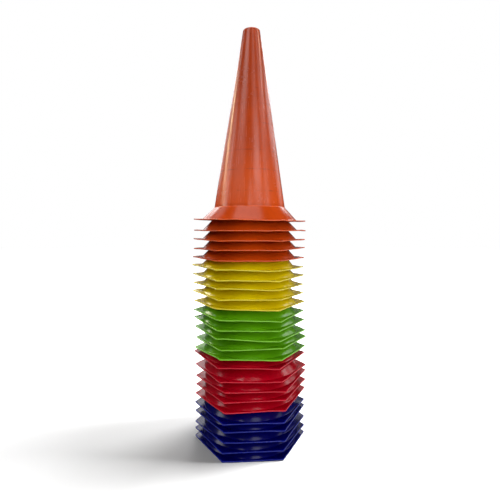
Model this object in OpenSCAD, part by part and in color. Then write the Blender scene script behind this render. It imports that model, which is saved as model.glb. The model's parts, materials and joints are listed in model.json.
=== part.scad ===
// A stack of nested sports marker cones, five of each colour.
// Every cone is one soft plastic moulding: a slim tapered body with a pole hole in its tip,
// a skirt that flares out at the foot, and a thin six-sided flange that lies on the ground.
// A cone nests on the wall of the cone beneath it, so the step from one flange to the next
// follows from the taper and the thickness of the wall. Its corners point left and right,
// the viewer stands at -Y, and the stack stands at the origin.

/* [Cone] */
// Height of one cone, from the ground to the top of its tip
cone_h = 500; // [300:5:750]
// Height of the top of the skirt above the ground
skirt_h = 36; // [20:1:70]
// How far the skirt flares out, from the foot of the body to the foot of the skirt
skirt_run = 31; // [15:1:45]
// Thickness of the body and the skirt, square to their surface
wall = 3.2; // [2:0.1:5]
// Radius of the crease between the body and the skirt
crease_r = 4; // [1:0.5:8]

/* [Flange] */
// Width of the six-sided flange across two opposite sides
flange_w = 262; // [220:1:340]
// Thickness of the flange
flange_t = 2.8; // [2:0.1:5]
// Flat width left between the foot of the skirt and the middle of a side
flange_land = 5.5; // [3:0.5:20]
// Radius of the six corners of the flange
corner_r = 4; // [1:0.5:12]
// Radius of the fillet between the skirt and the flange
foot_r = 3; // [1:0.5:5]

/* [Tip] */
// Diameter of the pole that the tip takes
pole_d = 25; // [18:1:32]
// Gap all round the pole
pole_gap = 0.5; // [0.2:0.1:1.5]
// Width of the flat rim between the pole hole and the side of the tip
rim_w = 9.5; // [6:0.5:15]
// Thickness of the tip, which is the depth of the pole hole
tip_t = 4; // [2:0.5:10]
// Radius of the edge round the tip
tip_edge_r = 2; // [0.5:0.5:3.5]

/* [Stack] */
// Number of cones of each colour
cones_per_colour = 5; // [1:1:5]
// Least gap between the walls of two nested cones, square to their surface
nest_gap = 0.3; // [0.3:0.1:0.9]

/* [Hidden] */
// Name and colour of each group of cones, from the ground up
COLOURS = [
    ["blue", "#1A1F8C"],
    ["red", "#C4122E"],
    ["green", "#3F9E1C"],
    ["yellow", "#D8BE10"],
    ["orange", "#D2502A"],
];

NODES = [
    for (colour = COLOURS)
        for (n = [1 : cones_per_colour])
            str("cone_", colour[0], "_", n)
];

// How much further than the least step each cone stands off the one beneath it,
// from the ground up, as a share of that step
lift_shares = [
    0.00, 0.00, 0.03, 0.17, 0.00,
    0.17, 0.10, 0.05, 0.07, 0.17,
    0.12, 0.14, 0.02, 0.09, 0.03,
    0.15, 0.07, 0.05, 0.00, 0.05,
    0.04, 0.07, 0.04, 0.06, 0.16,
];

// How far each cone is turned, in degrees, from the ground up
turns = [
    3.3, 2.9, 4.5, 4.5, 4.0,
    4.5, 3.8, 4.4, 0.0, -0.5,
    0.9, 0.7, -2.0, -0.6, 1.3,
    -1.6, 1.7, -0.9, -0.3, -0.8,
    0.6, -0.5, 0.3, -0.4, 0.0,
];

// The flange
sides = 6;
flange_corner = flange_w / 2 / cos(180 / sides);

// Radii of the revolved shape
foot_of_skirt = flange_w / 2 - flange_land;
foot_of_body = foot_of_skirt - skirt_run;
hole = pole_d / 2 + pole_gap;
tip = hole + rim_w;

// Lean of the body and of the skirt from upright
taper = atan((foot_of_body - tip) / (cone_h - skirt_h));
flare = atan(skirt_run / (skirt_h - flange_t));

// The step between two cones whose walls are nest_gap apart
least_step = (wall + nest_gap) / sin(taper);

// Straight pieces in a rounded corner, and how smooth a full turn is drawn
corner_steps = 4;
$fn = 96;

// The direction that a surface leaning by this angle faces
function facing(lean) = [cos(lean), sin(lean)];

function unit(v) = v / norm(v);

// A corner at b, between a and c, rounded to radius r
function rounded_corner(a, b, c, r) =
    r == 0 ? [b] :
    let (
        u = unit(a - b),
        v = unit(c - b),
        half = acos(u * v) / 2,
        centre = b + unit(u + v) * r / sin(half),
        from = b + u * r / tan(half) - centre,
        to = b + v * r / tan(half) - centre,
        turn = 180 - 2 * half
    )
    [
        for (i = [0 : corner_steps])
            let (share = i / corner_steps)
            centre + (from * sin((1 - share) * turn) + to * sin(share * turn)) / sin(turn)
    ];

// An outline with every corner rounded to its own radius
function rounded_outline(points, radii) = [
    for (i = [0 : len(points) - 1])
        each rounded_corner(
            points[(i + len(points) - 1) % len(points)],
            points[i],
            points[(i + 1) % len(points)],
            radii[i]
        )
];

// Height of cone i's underside above the ground
function seat(i) = i == 0 ? 0 : seat(i - 1) + least_step * (1 + lift_shares[i % len(lift_shares)]);

// Half of the section through the body, the skirt and the middle of the flange
module section() {
    crease = [foot_of_body, skirt_h];
    // the inside of the crease, one wall in from the body and from the skirt
    inner_crease = crease
        - wall * (facing(taper) + facing(flare)) / (1 + facing(taper) * facing(flare));
    tip_underside = cone_h - tip_t;
    inner_top = inner_crease[0] - (tip_underside - inner_crease[1]) * tan(taper);
    inner_foot = inner_crease[0] + inner_crease[1] * tan(flare);
    outline = [
        [hole, cone_h],
        [hole, tip_underside],
        [inner_top, tip_underside],
        inner_crease,
        [inner_foot, 0],
        [foot_of_skirt + foot_r, 0],
        [foot_of_skirt + foot_r, flange_t],
        [foot_of_skirt, flange_t],
        crease,
        [tip, cone_h],
    ];
    radii = [0, 0, 0, crease_r + wall, 0, 0, 0, foot_r, crease_r, tip_edge_r];
    polygon(rounded_outline(outline, radii));
}

module flange() {
    corners = [for (i = [0 : sides - 1]) flange_corner * facing(i * 360 / sides)];
    linear_extrude(flange_t)
        difference() {
            polygon(rounded_outline(corners, [for (c = corners) corner_r]));
            circle(foot_of_skirt);
        }
}

// One moulding, with its flange on the ground
module cone_moulding() {
    rotate_extrude()
        section();
    flange();
}

// Cone i of the stack, counted from the ground up
module cone(i) {
    color(COLOURS[floor(i / cones_per_colour)][1])
        translate([0, 0, seat(i)])
            rotate(turns[i % len(turns)])
                cone_moulding();
}

for (i = [0 : len(NODES) - 1])
    cone(i);
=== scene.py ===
"""Looks for a free-standing stack of nested sports marker cones.

Twenty-five cones of soft polyethylene stand in one another on a pale studio floor: five each of
blue, red, green, yellow and orange from the ground up. One cone is turned as on a lathe, gets its
six-sided flange and is copied for every node of the frame. Each copy then flexes a little, as soft
mouldings do. Lengths are in millimetres and angles in degrees, and +Z is up.
"""

import json
import math
import random

import bmesh
import bpy
from mathutils import Matrix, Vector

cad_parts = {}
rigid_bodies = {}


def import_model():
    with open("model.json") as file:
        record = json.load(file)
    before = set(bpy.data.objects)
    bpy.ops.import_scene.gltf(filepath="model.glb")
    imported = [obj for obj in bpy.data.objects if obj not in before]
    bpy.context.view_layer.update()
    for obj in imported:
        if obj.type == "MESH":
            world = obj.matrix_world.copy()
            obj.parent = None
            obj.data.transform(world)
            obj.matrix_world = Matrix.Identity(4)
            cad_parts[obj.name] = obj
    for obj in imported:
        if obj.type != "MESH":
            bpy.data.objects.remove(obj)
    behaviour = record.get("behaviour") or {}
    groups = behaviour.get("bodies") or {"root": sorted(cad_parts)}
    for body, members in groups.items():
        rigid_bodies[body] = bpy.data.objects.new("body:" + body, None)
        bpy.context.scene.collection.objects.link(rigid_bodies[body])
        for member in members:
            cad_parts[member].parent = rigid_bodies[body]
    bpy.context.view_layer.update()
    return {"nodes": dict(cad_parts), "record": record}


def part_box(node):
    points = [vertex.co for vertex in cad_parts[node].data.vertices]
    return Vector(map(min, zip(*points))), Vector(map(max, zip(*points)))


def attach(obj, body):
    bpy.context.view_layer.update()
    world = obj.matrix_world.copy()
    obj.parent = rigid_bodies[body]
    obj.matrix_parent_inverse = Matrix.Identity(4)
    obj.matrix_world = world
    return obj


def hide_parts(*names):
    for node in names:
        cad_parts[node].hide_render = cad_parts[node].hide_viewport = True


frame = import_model()
MM = 0.001

# The cone, with the sizes of the solid that it stands for, and a sixth of a turn, in radians
SKIRT_H = 36
SKIRT_RUN = 31
WALL = 3.2
CREASE_R = 4
FLANGE_W = 262
FLANGE_T = 2.8
FLANGE_LAND = 5.5
CORNER_R = 4
FOOT_R = 3
HOLE_R = 13
RIM_W = 9.5
TIP_T = 4
TIP_EDGE_R = 2
SIDES = 6
SIXTH = 2 * math.pi / SIDES

FLANGE_CORNER = FLANGE_W / 2 / math.cos(SIXTH / 2)
FOOT_OF_SKIRT = FLANGE_W / 2 - FLANGE_LAND
FOOT_OF_BODY = FOOT_OF_SKIRT - SKIRT_RUN
TIP_R = HOLE_R + RIM_W

# Faint rings that nesting has pressed into the body: heights over the foot, depth and half width, and
# where their section has its points, as shares of the half width
RING_HEIGHTS = (75, 129, 178, 249, 300, 338)
RING_DEPTH = 0.15
RING_HALF_W = 2.6
RING_POINTS = (-1.6, -1, -0.5, 0, 0.5, 1, 1.6)

# How far in from the rim, from the crease and from the tip the plastic is painted paler, and how much of
# that the crease gets. At the rim this is partly wear and partly a painted highlight, at the crease it is
# a painted highlight, and at the tip it is wear
RIM_WEAR_AND_HIGHLIGHT = 1.6
CREASE_HIGHLIGHT = 2.5
TIP_WEAR = 3
CREASE_SHARE = 0.7

# The mesh: straight pieces round the axis, in a rounded corner and in a corner of the flange, rings of
# faces across the flange, and how far off the rim stands while it is bridged to the wall
AROUND = 144
ARC_STEPS = 5
CORNER_STEPS = 4
FLANGE_RINGS = 3
RAISED = 20

# The mesh: broken edges, the points that keep the straights flat beside a rounded corner, the longest
# straight piece of the wall, how near two points have to be to count as one, and how far the flange's own
# points stand off the wall's foot at least
EDGE_R = 0.6
EDGE_STEPS = 2
SHARP_ANGLE = 40
SMOOTH_ANGLE = 50
SUPPORT = 1.5
LONGEST = 15
TOUCH = 0.01
PAST_FOOT = 0.1

# How the stack sways: height over the floor, and how far the stack stands to the right there
SWAY = (
    (0, 0), (70, 1), (160, 2.5), (290, 0), (350, -2.5),
    (440, -4.5), (490, -4), (560, -1.5), (600, -1), (1090, 4),
)

# How each flange flexes, from the ground up: its shift to the right, and how far its left, front left,
# front right and right corners stand over the flat. The back corners don't show in the photograph: they
# stand over or under the flat by up to BACK_FLEX, at random.
FLEX = (
    (0, 0, 0, 1, 2), (0, -1, -1, 1, 0), (0, -4, 1, 1, 0), (0, -1, 1, 1, 4), (-1, -1, -2, -2, -2),
    (0, -2, -1, 2, 4), (1, -2, 0, 2, 4), (1, -2, 0, 0, 5), (0, 2, 0, 0, 0), (-3, 11, 8, 7, 7),
    (0, -3, 4, 2, -1), (3, -2, 0, 4, 1), (0, 4, 4, -1, -3), (-1, 6, 0, -1, -1), (-1, 4, 2, -1, -1),
    (1, 1, 2, 0, 0), (-1, 5, 1, 0, -2), (1, 2, 4, 0, -2), (0, 3, 1, -1, 0), (-2, 4, 3, -1, -2),
    (0, 2, 0, 0, 0), (1, 0, 1, 1, 2), (0, 2, 0, 0, 0), (1, 1, 0, 0, 1), (0, 4, 1, -2, -1),
)
BACK_FLEX = 2.5

# The rim's ripple: the height of each wave, and how many of each there are in a turn
RIPPLE = 0.5
RIPPLE_WAVES = (5, 9, 14)

# What starts the random draws, and how far apart they set the cones in the noise of their plastic
SEED = 25
BATCHES = 10

# Noise in the plastic: the size of its patches, the detail in them, and whether it is drawn out along the
# body in lines
NOISES = {
    "clouds": (60, 2, False),
    "mottle": (6, 3, False),
    "scratches": (2.2, 3, True),
    "scratched patches": (45, 2, False),
    "broken rings": (22, 3, False),
    "grit": (1.6, 1, False),
    "darkening towards the tip": (25, 4, False),
    "waves": (38, 1, False),
    "drawn lines": (4, 2, True),
    "peel": (1.8, 1, False),
}

# The levels of the noise where a pattern begins and where it is full, and how much there is before
LEVELS = {
    "clouds": (0.3, 0.7, 0),
    "mottle": (0.3, 0.7, 0),
    "scratches": (0.56, 0.72, 0),
    "scratched patches": (0.42, 0.62, 0),
    "broken rings": (0.46, 0.6, 0),
    "grit": (0.62, 0.72, 0),
    "darkening towards the tip": (0.25, 0.75, 0.7),
}

# Heights over a cone's foot where a part of it or a pattern begins and where it is full
HEIGHTS = {
    "body": (36, 46),
    "flange": (8, 2),
    "towards the tip": (100, 400),
    # painted light: the lower body is painted lighter, as if lit from low down
    "painted light low on the body": (200, 80),
}

# What each pattern keeps to: a part of the cone, a mark on its mesh or another pattern
LIMITS = (
    ("scratches", "body"),
    ("scratches", "scratched patches"),
    ("broken rings", "pressed"),
    ("grit", "flange"),
    ("darkening towards the tip", "towards the tip"),
    # the painted light stays on the body
    ("painted light low on the body", "body"),
)

# How strongly each pattern colours the plastic, one over the other, and whether towards the lighter or
# the darker tone. The lighter tone is partly wear and partly painted light: painted light low on the body
# and a painted highlight on the rims and the crease
COLOURING = (
    ("clouds", 0.22, "darkened"),
    ("mottle", 0.1, "darkened"),
    # the colour grows darker towards the tip
    ("darkening towards the tip", 0.5, "darkened"),
    # painted light: the lower body blends towards the lighter tone
    ("painted light low on the body", 0.35, "rubbed_and_lit"),
    ("broken rings", 0.5, "darkened"),
    ("scratches", 0.35, "rubbed_and_lit"),
    ("grit", 0.07, "rubbed_and_lit"),
    # worn: wear at the tips and rims, and a painted highlight on the rims and the crease
    ("worn_and_highlit", 0.65, "rubbed_and_lit"),
)

# The roughness of the clean gloss, how much rougher the body and the patterns are, and the index of
# refraction
GLOSS = 0.13
ROUGHER = {"clouds": 0.05, "mottle": 0.04, "body": 0.07, "scratches": 0.2, "worn_and_highlit": 0.12, "grit": 0.12}
IOR = 1.51

# How deep the relief goes
RELIEF = {"waves": 0.25, "drawn lines": 0.03, "peel": 0.012}

# How lines run: the radius of the drum that the body's places are wrapped round, and how much those
# places are drawn together along the body
DRUM_R = 60
DRAWN = 0.02

# The camera of the photograph: its place, how far it looks down and its focal length in its frame
CAMERA_Y = -1059.7
CAMERA_Z = 567.5
CAMERA_DOWN = 2.97
FOCAL_PIXELS = 391.3
FRAME_PIXELS = 500
SENSOR = 36

# What the lamps light: all cones, the topmost one alone, the green and yellow ones alone, or the paper,
# whose shadow is deeper than the cones' own shading
STACK = bpy.data.collections.new("stack")
TOPMOST = bpy.data.collections.new("topmost cone")
MIDDLE = bpy.data.collections.new("green and yellow cones")
PAPER = bpy.data.collections.new("paper")

# The room's light on the cones, and how bright gloss mirrors the room and the white backdrop, which begins
# and is full where the direction of the view has these parts along +Y and +Z
ROOM = 0.08
MIRRORED_ROOM = 0.02
MIRRORED_BACKDROP = 0.15
BACKDROP = {"Y": (0.82, 0.95), "Z": (0.5, 0.3)}

# The paper: its radius and sides, its colour to the camera and to the light that it throws back, and how
# far off it begins to go over into the white and is white
PAPER_R = 12000
PAPER_SIDES = 96
PAPER_SEEN = "#E1E1E1"
PAPER_THROWN_BACK = "#6E6E6E"
WHITE_BEGINS = 650
WHITE_FULL = 1600

# The lamps stand this far from a point at this height on the stack's axis
LAMP_AWAY = 3000
LAMP_AIM = 550

# The lamps. Each has its direction round the stack, from the viewer's side towards the right, its height
# over the horizon, its width and height as seen from the stack, its radiance and, where it isn't white,
# its colour. First come the wide soft boxes, then the narrow ones for single highlights.
STACK_LAMPS = (
    ("overhead", -40, 84, 36, 36, 1.4),
    ("high at the left in front", -46, 48, 25, 24, 2.7),
    ("high in front", 18, 50, 16, 24, 1.3),
    ("low at the left in front", -42, 30, 41, 12, 1.1),
    ("left", -86, 24, 17, 24, 2.6),
    ("low in front", 2, 18, 13, 12, 3.2),
    ("at the right in front", 28, 30, 21, 12, 3.8),
    ("near the floor in front", 12, 6, 12, 12, 9),
    ("near the floor at the right", 57, 6, 28, 12, 5.6),
    ("tall at the right", 60, 36, 10, 44, 1.9),
    ("low at the right", 36, 18, 12, 12, 1.5),
    ("faint at the right", 78, 30, 21, 12, 0.8),
    ("behind at the right", 114, 30, 21, 12, 2.8),
    ("low behind at the right", 130, 18, 24, 12, 1.3),
    ("far behind at the right", 162, 28, 22, 18, 1.6),
    ("tall behind", 180, 18, 12, 36, 3.6),
    ("far behind at the left", -162, 24, 22, 24, 1.7),
    ("behind at the left", -138, 24, 20, 22, 0.9),
    ("pale at the left", -112, 41, 6, 10, 3),
    ("pale behind far left", -150, 32, 9, 8, 4),
    ("soft behind left", -136, 46, 18, 14, 0.8),
    ("strip behind right", 148, 38, 3, 24, 6.5),
    ("pale behind far right", 150, 33, 12, 7, 4),
    ("small high in front", -44, 62, 10, 4, 5),
)
MIDDLE_LAMPS = (
    ("cream behind left", -141, 31, 26, 26, 5, "#FFF6D8"),
    ("cream behind left, low", -139, 25, 8, 9, 7, "#FFF3CC"),
    ("cream behind left, high", -127, 33, 7, 9, 9, "#FFF3CC"),
)
TOPMOST_LAMPS = (
    ("cream line at the left 1", -119, 33, 8, 6, 11, "#FFE9C0"),
    ("cream line at the left 2", -114, 27, 10, 8, 10, "#FFE9C0"),
    ("cream line at the left 3", -106, 21, 9, 7, 9, "#FFEBC8"),
    ("cream line at the left 4", -94, 18, 8, 6, 6, "#FFE6BC"),
    ("line at the right 1", 76, 37, 5, 5, 8),
    ("line at the right 2", 81, 40, 6, 5, 7.5),
    ("line at the right 3", 90, 43, 6, 5, 8, "#FFECD8"),
    ("line at the right 4", 99, 46, 8, 7, 7, "#FFE4C8"),
    ("line behind right", 133, 25, 3, 12, 6),
)
PAPER_LAMPS = (
    ("over the right", 95, 52, 18, 24, 45),
    ("behind the right", 140, 45, 22, 20, 20),
    ("low over the paper", 120, 3, 40, 18, 20),
    ("low behind the paper", 170, 3, 56, 18, 8),
    ("in front of the paper", -15, 48, 20, 20, 8),
    ("behind the paper", -178, 45, 20, 20, 5),
)

# Tall lamps round the column of cones that a pose lifts off. Their light goes straight ahead, within this
# spread, so that it doesn't reach the stack at rest. This is the height of their middle.
TALL_LAMPS = (
    ("tall behind left", -135, 0, 19, 123, 1),
    ("tall in front at the left", -45, 0, 19, 123, 1),
    ("tall in front at the right", 45, 0, 19, 123, 1),
    ("tall behind right", 135, 0, 19, 123, 1),
)
TALL_SPREAD = 50
TALL_AIM = 8000


def smooth(share):
    """0 below 0, 1 above 1 and an even curve between."""
    share = min(max(share, 0), 1)
    return share * share * (3 - 2 * share)


def between(points, at):
    """The value at one place on an even curve through (place, value) points."""
    for (a, low), (b, high) in zip(points, points[1:]):
        if at <= b:
            return low + (high - low) * smooth((at - a) / (b - a))
    return points[-1][1]


def deselect_all():
    for thing in bpy.data.objects:
        thing.select_set(False)


def select(mesh, kind, test):
    """Selects the vertices or edges of the mesh being edited that pass a test, and no others."""
    bpy.ops.mesh.select_all(action="DESELECT")
    edited = bmesh.from_edit_mesh(mesh)
    for item in getattr(edited, kind):
        if test(item):
            item.select_set(True)
    bmesh.update_edit_mesh(mesh)


# Shape of one cone
def direction(here, there):
    length = math.hypot(there[0] - here[0], there[1] - here[1])
    return ((there[0] - here[0]) / length, (there[1] - here[1]) / length)


def corner_arc(before, corner, after, radius):
    """The points of a rounded corner, with one more on each side that keeps the straights flat."""
    if radius == 0:
        return [corner]
    u, v = direction(corner, before), direction(corner, after)
    half = math.acos(u[0] * v[0] + u[1] * v[1]) / 2
    middle = math.hypot(u[0] + v[0], u[1] + v[1])
    reach, tangent = radius / math.sin(half), radius / math.tan(half)
    centre = [corner[i] + (u[i] + v[i]) / middle * reach for i in (0, 1)]
    start = [corner[i] + u[i] * tangent - centre[i] for i in (0, 1)]
    end = [corner[i] + v[i] * tangent - centre[i] for i in (0, 1)]
    turn = math.pi - 2 * half

    def on_arc(share, i):
        swing = start[i] * math.sin((1 - share) * turn) + end[i] * math.sin(share * turn)
        return centre[i] + swing / math.sin(turn)

    arc = [(on_arc(step / ARC_STEPS, 0), on_arc(step / ARC_STEPS, 1)) for step in range(ARC_STEPS + 1)]
    first = tuple(arc[0][i] + u[i] * SUPPORT for i in (0, 1))
    last = tuple(arc[-1][i] + v[i] * SUPPORT for i in (0, 1))
    return [first, *arc, last]


def ring_mark(height, cone_h, taper):
    """The points of one pressed ring, from below."""
    points = []
    for share in RING_POINTS:
        z = height + share * RING_HALF_W
        radius = TIP_R + (cone_h - z) * math.tan(taper)
        depth = RING_DEPTH * (1 - smooth(abs(share)))
        points.append((radius - depth, z))
    return points


def split_straights(points):
    """Cuts the long straights of a section into short ones, so that the wall can bend."""
    cut = [points[0]]
    for (r0, z0), (r1, z1) in zip(points, points[1:]):
        pieces = math.ceil(math.hypot(r1 - r0, z1 - z0) / LONGEST)
        for i in range(1, pieces + 1):
            cut.append((r0 + (r1 - r0) * i / pieces, z0 + (z1 - z0) * i / pieces))
    return cut


def cone_section(cone_h):
    """(radius, height) points of the wall, from the flange's top to its underside by way of the tip."""
    taper = math.atan((FOOT_OF_BODY - TIP_R) / (cone_h - SKIRT_H))
    flare = math.atan(SKIRT_RUN / (SKIRT_H - FLANGE_T))
    meet = WALL / (1 + math.cos(flare - taper))
    crease = (FOOT_OF_BODY, SKIRT_H)
    inner_crease = (
        FOOT_OF_BODY - meet * (math.cos(taper) + math.cos(flare)),
        SKIRT_H - meet * (math.sin(taper) + math.sin(flare)),
    )
    inner_top = inner_crease[0] - (cone_h - TIP_T - inner_crease[1]) * math.tan(taper)
    inner_foot = inner_crease[0] + inner_crease[1] * math.tan(flare)
    corners = (
        ((FOOT_OF_SKIRT + FOOT_R, FLANGE_T), 0),
        ((FOOT_OF_SKIRT, FLANGE_T), FOOT_R),
        (crease, CREASE_R),
        ((TIP_R, cone_h), TIP_EDGE_R),
        ((HOLE_R, cone_h), 0),
        ((HOLE_R, cone_h - TIP_T), 0),
        ((inner_top, cone_h - TIP_T), 0),
        (inner_crease, CREASE_R + WALL),
        ((inner_foot, 0), 0),
        ((FOOT_OF_SKIRT + FOOT_R, 0), 0),
    )
    section = [corners[0][0]]
    for (before, _), (corner, radius), (after, _) in zip(corners, corners[1:], corners[2:]):
        section += corner_arc(before, corner, after, radius)
        if corner == crease:
            for height in RING_HEIGHTS:
                section += ring_mark(height, cone_h, taper)
    return split_straights(section + [corners[-1][0]])


def turned_wall(section):
    """Draws the section as a line and spins it round the axis."""
    deselect_all()
    bpy.ops.mesh.primitive_plane_add(size=MM)
    cone = bpy.context.object
    bpy.ops.object.mode_set(mode="EDIT")
    bpy.ops.mesh.merge(type="CENTER")
    start = section[0]
    bpy.ops.transform.translate(value=(start[0] * MM, 0, start[1] * MM))
    for here, there in zip(section, section[1:]):
        step = ((there[0] - here[0]) * MM, 0, (there[1] - here[1]) * MM)
        bpy.ops.mesh.extrude_region_move(TRANSFORM_OT_translate={"value": step})
    bpy.ops.mesh.select_all(action="SELECT")
    bpy.ops.mesh.spin(steps=AROUND, angle=math.tau, center=(0, 0, 0), axis=(0, 0, 1))
    bpy.ops.mesh.select_all(action="SELECT")
    bpy.ops.mesh.remove_doubles(threshold=TOUCH * MM)
    return cone


def flatten(cone, height, test):
    """Lays the vertices that pass a test flat at one height."""
    select(cone.data, "verts", test)
    bpy.ops.transform.resize(value=(1, 1, 0), center_override=(0, 0, height * MM))


def bridge_flange():
    bpy.ops.mesh.bridge_edge_loops(number_cuts=FLANGE_RINGS, interpolation="LINEAR")


def add_flange(cone):
    """Adds the six-sided rim with its rounded corners and bridges it to the wall, above and below.

    The rim stands off by RAISED while it is bridged, so that its points pair with the wall's in order.
    """
    straight = FLANGE_CORNER / 2 * MM
    past_foot = (FOOT_OF_SKIRT + FOOT_R + PAST_FOOT) * MM

    def rim_side(edge):
        return not edge.link_faces and edge.calc_length() > straight

    def outside(vertex):
        return vertex.co.xy.length > past_foot

    def on_top(vertex):
        return abs(vertex.co.z - FLANGE_T * MM) < TOUCH * MM

    def rim_or_top_of_wall(edge):
        return not edge.link_faces or edge.is_boundary and all(on_top(v) for v in edge.verts)

    def open_rim(edge):
        return edge.is_boundary and all(outside(v) for v in edge.verts)

    bpy.ops.mesh.select_all(action="DESELECT")
    bpy.ops.mesh.primitive_circle_add(
        vertices=SIDES,
        radius=FLANGE_CORNER * MM,
        fill_type="NOTHING",
        location=(0, 0, (FLANGE_T + RAISED) * MM),
        rotation=(0, 0, math.pi / 2),
    )
    cut = CORNER_R / math.tan(math.pi / 2 - SIXTH / 2)
    bpy.ops.mesh.bevel(offset=cut * MM, affect="VERTICES", segments=CORNER_STEPS)
    select(cone.data, "edges", rim_side)
    bpy.ops.mesh.subdivide(number_cuts=AROUND // SIDES - CORNER_STEPS - 1)

    select(cone.data, "edges", rim_or_top_of_wall)
    bridge_flange()
    flatten(cone, FLANGE_T, outside)
    select(cone.data, "edges", open_rim)
    drop = (FLANGE_T + RAISED) * MM
    bpy.ops.mesh.extrude_edges_move(TRANSFORM_OT_translate={"value": (0, 0, -drop)})
    select(cone.data, "edges", lambda edge: edge.is_boundary)
    bridge_flange()
    flatten(cone, 0, lambda vertex: vertex.co.z < -TOUCH * MM)


def marker_cone(cone_h):
    """One whole cone at the origin, with every sharp edge broken."""
    cone = turned_wall(cone_section(cone_h))
    add_flange(cone)
    bpy.ops.mesh.select_all(action="SELECT")
    bpy.ops.mesh.normals_make_consistent(inside=False)
    bpy.ops.object.mode_set(mode="OBJECT")
    edges = cone.modifiers.new("broken edges", "BEVEL")
    edges.width = EDGE_R * MM
    edges.segments = EDGE_STEPS
    edges.limit_method = "ANGLE"
    edges.angle_limit = math.radians(SHARP_ANGLE)
    bpy.ops.object.modifier_apply(modifier=edges.name)
    bpy.ops.object.shade_smooth_by_angle(angle=math.radians(SMOOTH_ANGLE))
    map_wear_and_highlights(cone, cone_h)
    return cone


def map_wear_and_highlights(cone, cone_h):
    """Writes what the plastic needs: each point's place on the cone, its ring marks, and its wear and
    painted highlight.
    """
    mesh = cone.data
    # each new attribute moves the others, so they are all made before any is written
    for name, kind in (("own_place", "FLOAT_VECTOR"), ("worn_and_highlit", "FLOAT"), ("pressed", "FLOAT")):
        mesh.attributes.new(name, kind, "POINT")
    own_place, worn_and_highlit, pressed = (mesh.attributes[name].data for name in ("own_place", "worn_and_highlit", "pressed"))
    sides = [(math.cos(SIXTH * (i + 0.5)), math.sin(SIXTH * (i + 0.5))) for i in range(SIDES)]
    for vertex in mesh.vertices:
        x, y, z = (c / MM for c in vertex.co)
        radius = math.hypot(x, y)
        own_place[vertex.index].vector = vertex.co
        reach = max(x * cos + y * sin for cos, sin in sides)
        # the rim is painted paler, partly as wear and partly as a painted highlight; the crease gets a
        # painted highlight, and the tip's edge gets wear
        rim = 1 - smooth((FLANGE_W / 2 - reach) / RIM_WEAR_AND_HIGHLIGHT)
        crease, tip = 0, 0
        if radius > FOOT_OF_BODY - CREASE_R:
            crease = CREASE_SHARE * (1 - smooth(abs(z - SKIRT_H) / CREASE_HIGHLIGHT))
        if radius > HOLE_R + RIM_W / 2:
            tip = 1 - smooth((cone_h - z) / TIP_WEAR)
        worn_and_highlit[vertex.index].value = max(rim, crease, tip)
        ring = min(abs(z - height) for height in RING_HEIGHTS) / RING_HALF_W
        pressed[vertex.index].value = 1 - smooth(ring)


# Flexing of each copy
def turn_of(node):
    """The angle of the node's flange: where the corner nearest to the right points."""
    def how_far(place):
        return (round(math.hypot(place.x, place.y), 6), place.x)

    far = max((vertex.co for vertex in frame["nodes"][node].data.vertices), key=how_far)
    return (math.atan2(far.y, far.x) + SIXTH / 2) % SIXTH - SIXTH / 2


def flex(cone, seat, turn, flexing, rng):
    """Bends the soft skirt and flange, and lets the whole cone follow the sway of the stack."""
    shift, left, front_left, front_right, right = flexing
    back_right, back_left = (rng.uniform(-BACK_FLEX, BACK_FLEX) for _ in range(2))
    if seat == 0:
        back_right, back_left = abs(back_right), abs(back_left)
    lifts = [right, back_right, back_left, left, front_left, front_right]
    waves = [(count, rng.uniform(0, math.tau)) for count in RIPPLE_WAVES]
    for vertex in cone.data.vertices:
        radius = math.hypot(vertex.co.x, vertex.co.y) / MM
        sway = between(SWAY, seat + vertex.co.z / MM)
        share = smooth((radius - FOOT_OF_BODY) / (FOOT_OF_SKIRT - FOOT_OF_BODY))
        if share > 0:
            place = (math.atan2(vertex.co.y, vertex.co.x) - turn) / SIXTH % SIDES
            corner = int(place) % SIDES
            blend = smooth(place - int(place))
            lift = lifts[corner] * (1 - blend) + lifts[(corner + 1) % SIDES] * blend
            edge = smooth((radius - FOOT_OF_SKIRT) / (FLANGE_CORNER - FOOT_OF_SKIRT))
            ripple = sum(math.cos(count * place * SIXTH + phase) for count, phase in waves)
            if seat == 0:
                ripple = abs(ripple)
            vertex.co.z += (lift * share + RIPPLE * ripple * edge) * MM
        vertex.co.x += (sway + shift * share) * MM


def nested_cones():
    """One copy of the cone for each node of the frame, in its place and its colour."""
    rng = random.Random(SEED)
    bodies = frame["record"]["behaviour"]["bodies"]
    body_of = {node: body for body, members in bodies.items() for node in members}
    nodes = sorted(body_of, key=lambda node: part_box(node)[0].z)
    low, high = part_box(nodes[-1])
    pattern = marker_cone((high.z - low.z) / MM)
    for node, flexing in zip(nodes, FLEX):
        colour = node.split("_")[1]
        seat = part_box(node)[0].z
        turn = turn_of(node)
        cone = pattern.copy()
        cone.data = pattern.data.copy()
        cone.name = "moulded_" + node
        bpy.context.scene.collection.objects.link(cone)
        STACK.objects.link(cone)
        if node == nodes[-1]:
            TOPMOST.objects.link(cone)
        if colour in ("green", "yellow"):
            MIDDLE.objects.link(cone)
        # a number of its own for each cone, which shifts its patterns
        batch = cone.data.attributes.new("batch", "FLOAT", "POINT")
        batch.data.foreach_set("value", [rng.random() * BATCHES] * len(cone.data.vertices))
        cone.data.transform(Matrix.Rotation(turn, 4, "Z"))
        flex(cone, seat / MM, turn, flexing, rng)
        cone.data.transform(Matrix.Translation((0, 0, seat)))
        cone.data.materials.clear()
        cone.data.materials.append(PLASTICS[colour])
        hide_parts(node)
        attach(cone, body_of[node])
    bpy.data.objects.remove(pattern)


# Materials
def linear(hex_colour):
    """An sRGB hex colour as linear red, green, blue and alpha."""
    levels = [int(hex_colour[i : i + 2], 16) / 255 for i in (1, 3, 5)]
    return [c / 12.92 if c <= 0.04045 else ((c + 0.055) / 1.055) ** 2.4 for c in levels] + [1]


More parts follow.
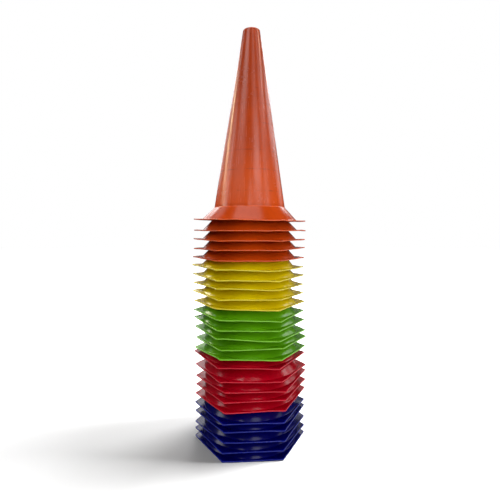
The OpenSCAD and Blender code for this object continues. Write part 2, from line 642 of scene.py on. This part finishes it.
def add(tree, kind, inputs=None, **settings):
    """Adds a node. An input is a value, an output to link, or a node, which gives its first output."""
    made = tree.nodes.new(kind)
    for name, value in settings.items():
        setattr(made, name, value)
    for name, value in (inputs or {}).items():
        if isinstance(value, bpy.types.Node):
            value = value.outputs[0]
        if isinstance(value, bpy.types.NodeSocket):
            tree.links.new(value, made.inputs[name])
        else:
            made.inputs[name].default_value = value
    return made


def soft_polyethylene(name, dye, rubbed_and_lit, darkened):
    """Soft low-density polyethylene, dyed through and injection-moulded in a polished mould.

    To the eye it is glossy and a little wavy. Its dye lies in faint clouds. Nesting has drawn fine
    scratches along the body and pressed rings into it, which are darker in broken patches. The rims are
    partly rubbed pale and partly painted with a highlight, the crease carries a painted highlight, the
    lower body carries painted light, the flanges carry a fine grit, and the colour grows darker towards
    the tips. The real scratches, grit and peel are finer, and are drawn as coarse as they need to be to
    show.
    """
    material = bpy.data.materials.new(name)
    material.use_nodes = True
    tree = material.node_tree
    shader = tree.nodes["Principled BSDF"]
    place = add(tree, "ShaderNodeAttribute", attribute_name="own_place").outputs["Vector"]
    batch = add(tree, "ShaderNodeAttribute", attribute_name="batch").outputs["Fac"]
    height = add(tree, "ShaderNodeSeparateXYZ", {0: place}).outputs["Z"]

    # places on the body, wrapped round a drum and drawn together along it, so that noise runs in long lines
    flat = add(tree, "ShaderNodeVectorMath", {0: place, 1: (1, 1, 0)}, operation="MULTIPLY")
    facing = add(tree, "ShaderNodeVectorMath", {0: flat}, operation="NORMALIZE")
    girth = (DRUM_R * MM, DRUM_R * MM, 0)
    drum = add(tree, "ShaderNodeVectorMath", {0: facing, 1: girth}, operation="MULTIPLY")
    drawn = add(tree, "ShaderNodeMath", {0: height, 1: DRAWN}, operation="MULTIPLY")
    rise = add(tree, "ShaderNodeCombineXYZ", {"Z": drawn})
    along = add(tree, "ShaderNodeVectorMath", {0: drum, 1: rise}, operation="ADD")

    pattern = {}
    for mark in ("worn_and_highlit", "pressed"):
        pattern[mark] = add(tree, "ShaderNodeAttribute", attribute_name=mark).outputs["Fac"]
    for part, (begins, full) in HEIGHTS.items():
        inputs = {"Value": height, "From Min": begins * MM, "From Max": full * MM}
        pattern[part] = add(tree, "ShaderNodeMapRange", inputs)
    for kind, (size, detail, in_lines) in NOISES.items():
        inputs = {"Vector": place, "W": batch, "Scale": 1 / (size * MM), "Detail": detail}
        if in_lines:
            inputs["Vector"] = along
        pattern[kind] = add(tree, "ShaderNodeTexNoise", inputs, noise_dimensions="4D")
    for kind, (begins, full, left) in LEVELS.items():
        inputs = {"Value": pattern[kind], "From Min": begins, "From Max": full, "To Min": left}
        pattern[kind] = add(tree, "ShaderNodeMapRange", inputs)
    for kind, limit in LIMITS:
        inputs = {0: pattern[kind], 1: pattern[limit]}
        pattern[kind] = add(tree, "ShaderNodeMath", inputs, operation="MULTIPLY")

    # inputs 6 and 7 and output 2 of the mix are the ones for colours
    colour = linear(dye)
    goes_to = {"rubbed_and_lit": linear(rubbed_and_lit), "darkened": linear(darkened)}
    for kind, strength, towards in COLOURING:
        share = add(tree, "ShaderNodeMath", {0: pattern[kind], 1: strength}, operation="MULTIPLY")
        inputs = {"Factor": share, 6: colour, 7: goes_to[towards]}
        colour = add(tree, "ShaderNodeMix", inputs, data_type="RGBA").outputs[2]
    tree.links.new(colour, shader.inputs["Base Color"])

    roughness = GLOSS
    for kind, rougher in ROUGHER.items():
        inputs = {0: pattern[kind], 1: rougher, 2: roughness}
        roughness = add(tree, "ShaderNodeMath", inputs, operation="MULTIPLY_ADD")
    tree.links.new(roughness.outputs[0], shader.inputs["Roughness"])
    shader.inputs["IOR"].default_value = IOR

    relief = {}
    for kind, depth in RELIEF.items():
        inputs = {"Height": pattern[kind], "Strength": 1.0, "Distance": depth * MM, **relief}
        relief = {"Normal": add(tree, "ShaderNodeBump", inputs)}
    tree.links.new(relief["Normal"].outputs[0], shader.inputs["Normal"])
    return material


# Each plastic: its dye, a lighter tone that serves wear and also painted light and painted highlight, and a
# darker tone
PLASTICS = {
    "blue": soft_polyethylene("soft_polyethylene_blue", "#010264", "#2030B0", "#010238"),
    "red": soft_polyethylene("soft_polyethylene_red", "#C6001E", "#F02C42", "#7A0010"),
    "green": soft_polyethylene("soft_polyethylene_green", "#68B20E", "#A0EE4C", "#2F7602"),
    "yellow": soft_polyethylene("soft_polyethylene_yellow", "#EED606", "#FFF24A", "#A88602"),
    "orange": soft_polyethylene("soft_polyethylene_orange", "#D24A08", "#FF6A28", "#842C14"),
}


# Studio
def white_world():
    """White where the camera looks, a dim room elsewhere, and a pale backdrop in what gloss mirrors."""
    world = bpy.data.worlds.new("white studio")
    bpy.context.scene.world = world
    world.use_nodes = True
    tree = world.node_tree
    path = add(tree, "ShaderNodeLightPath").outputs
    view = add(tree, "ShaderNodeTexCoord").outputs["Generated"]
    backdrop = 1.0
    for axis, (begins, full) in BACKDROP.items():
        part = add(tree, "ShaderNodeSeparateXYZ", {0: view}).outputs[axis]
        within = add(tree, "ShaderNodeMapRange", {"Value": part, "From Min": begins, "From Max": full})
        backdrop = add(tree, "ShaderNodeMath", {0: backdrop, 1: within}, operation="MULTIPLY")
    inputs = {"Value": backdrop, "To Min": MIRRORED_ROOM, "To Max": MIRRORED_BACKDROP}
    mirrored = add(tree, "ShaderNodeMapRange", inputs)
    inputs = {0: path["Is Glossy Ray"], 1: path["Is Transmission Ray"]}
    shining = add(tree, "ShaderNodeMath", inputs, operation="MAXIMUM")
    room = add(tree, "ShaderNodeMix", {"Factor": shining, "A": ROOM, "B": mirrored})
    strength = add(tree, "ShaderNodeMath", {0: path["Is Camera Ray"], 1: room}, operation="MAXIMUM")
    background = tree.nodes["Background"]
    background.inputs["Color"].default_value = linear("#FFFFFF")
    tree.links.new(strength.outputs[0], background.inputs["Strength"])


def matt_white_paper():
    """Uncoated white paper. To the eye it has no gloss, and further off it goes over into the white."""
    material = bpy.data.materials.new("matt_white_paper")
    material.use_nodes = True
    tree = material.node_tree
    shader = tree.nodes["Principled BSDF"]
    shader.inputs["Roughness"].default_value = 0.9
    shader.inputs["Specular IOR Level"].default_value = 0.1
    shader.inputs["Emission Color"].default_value = linear("#FFFFFF")
    seen = add(tree, "ShaderNodeLightPath").outputs["Is Camera Ray"]
    place = add(tree, "ShaderNodeTexCoord").outputs["Object"]
    distance = add(tree, "ShaderNodeVectorMath", {0: place}, operation="LENGTH").outputs["Value"]
    inputs = {"Value": distance, "From Min": WHITE_BEGINS * MM, "From Max": WHITE_FULL * MM}
    far = add(tree, "ShaderNodeMapRange", inputs, interpolation_type="SMOOTHSTEP")
    glow = add(tree, "ShaderNodeMath", {0: seen, 1: far}, operation="MULTIPLY")
    tree.links.new(glow.outputs[0], shader.inputs["Emission Strength"])
    inputs = {"Factor": seen, 6: linear(PAPER_THROWN_BACK), 7: linear(PAPER_SEEN)}
    shade = add(tree, "ShaderNodeMix", inputs, data_type="RGBA")
    tree.links.new(shade.outputs[2], shader.inputs["Base Color"])
    return material


def pale_floor():
    """A round of paper that keeps the shadow of the stack."""
    deselect_all()
    size = {"vertices": PAPER_SIDES, "radius": PAPER_R * MM}
    bpy.ops.mesh.primitive_circle_add(fill_type="NGON", location=(0, 0, 0), **size)
    floor = bpy.context.object
    floor.name = "studio_floor"
    floor.data.materials.append(matt_white_paper())
    PAPER.objects.link(floor)


def soft_box(
    name, azimuth, rise, width, height, radiance, colour="#FFFFFF", onto=STACK, aim=LAMP_AIM, spread=180
):
    """A lamp round the stack: its direction from the viewer's side and the angles that it spans."""
    turn, lean = math.radians(azimuth), math.radians(rise)
    away = LAMP_AWAY * MM
    lamp = bpy.data.lights.new(name, "AREA")
    lamp.shape = "RECTANGLE"
    lamp.size = 2 * away * math.tan(math.radians(width / 2))
    lamp.size_y = 2 * away * math.tan(math.radians(height / 2))
    lamp.energy = radiance * lamp.size * lamp.size_y * math.pi
    lamp.color = linear(colour)[:3]
    lamp.spread = math.radians(spread)
    stand = bpy.data.objects.new(name, lamp)
    bpy.context.scene.collection.objects.link(stand)
    flat = away * math.cos(lean)
    stand.location = (flat * math.sin(turn), -flat * math.cos(turn), aim * MM + away * math.sin(lean))
    stand.rotation_euler = (math.pi / 2 - lean, 0, turn)
    stand.visible_camera = False
    stand.light_linking.receiver_collection = onto


def all_lamps():
    groups = ((STACK, STACK_LAMPS), (MIDDLE, MIDDLE_LAMPS), (TOPMOST, TOPMOST_LAMPS), (PAPER, PAPER_LAMPS))
    for lit, lamps in groups:
        for lamp in lamps:
            soft_box(*lamp, onto=lit)
    for lamp in TALL_LAMPS:
        soft_box(*lamp, aim=TALL_AIM, spread=TALL_SPREAD)


def camera():
    view = bpy.data.objects.new("camera", bpy.data.cameras.new("camera"))
    bpy.context.scene.collection.objects.link(view)
    view.location = (0, CAMERA_Y * MM, CAMERA_Z * MM)
    view.rotation_euler = (math.radians(90 - CAMERA_DOWN), 0, 0)
    view.data.sensor_width = SENSOR
    view.data.lens = SENSOR * FOCAL_PIXELS / FRAME_PIXELS
    bpy.context.scene.camera = view


camera()
nested_cones()
white_world()
pale_floor()
all_lamps()
bpy.context.scene.view_settings.view_transform = "Standard"
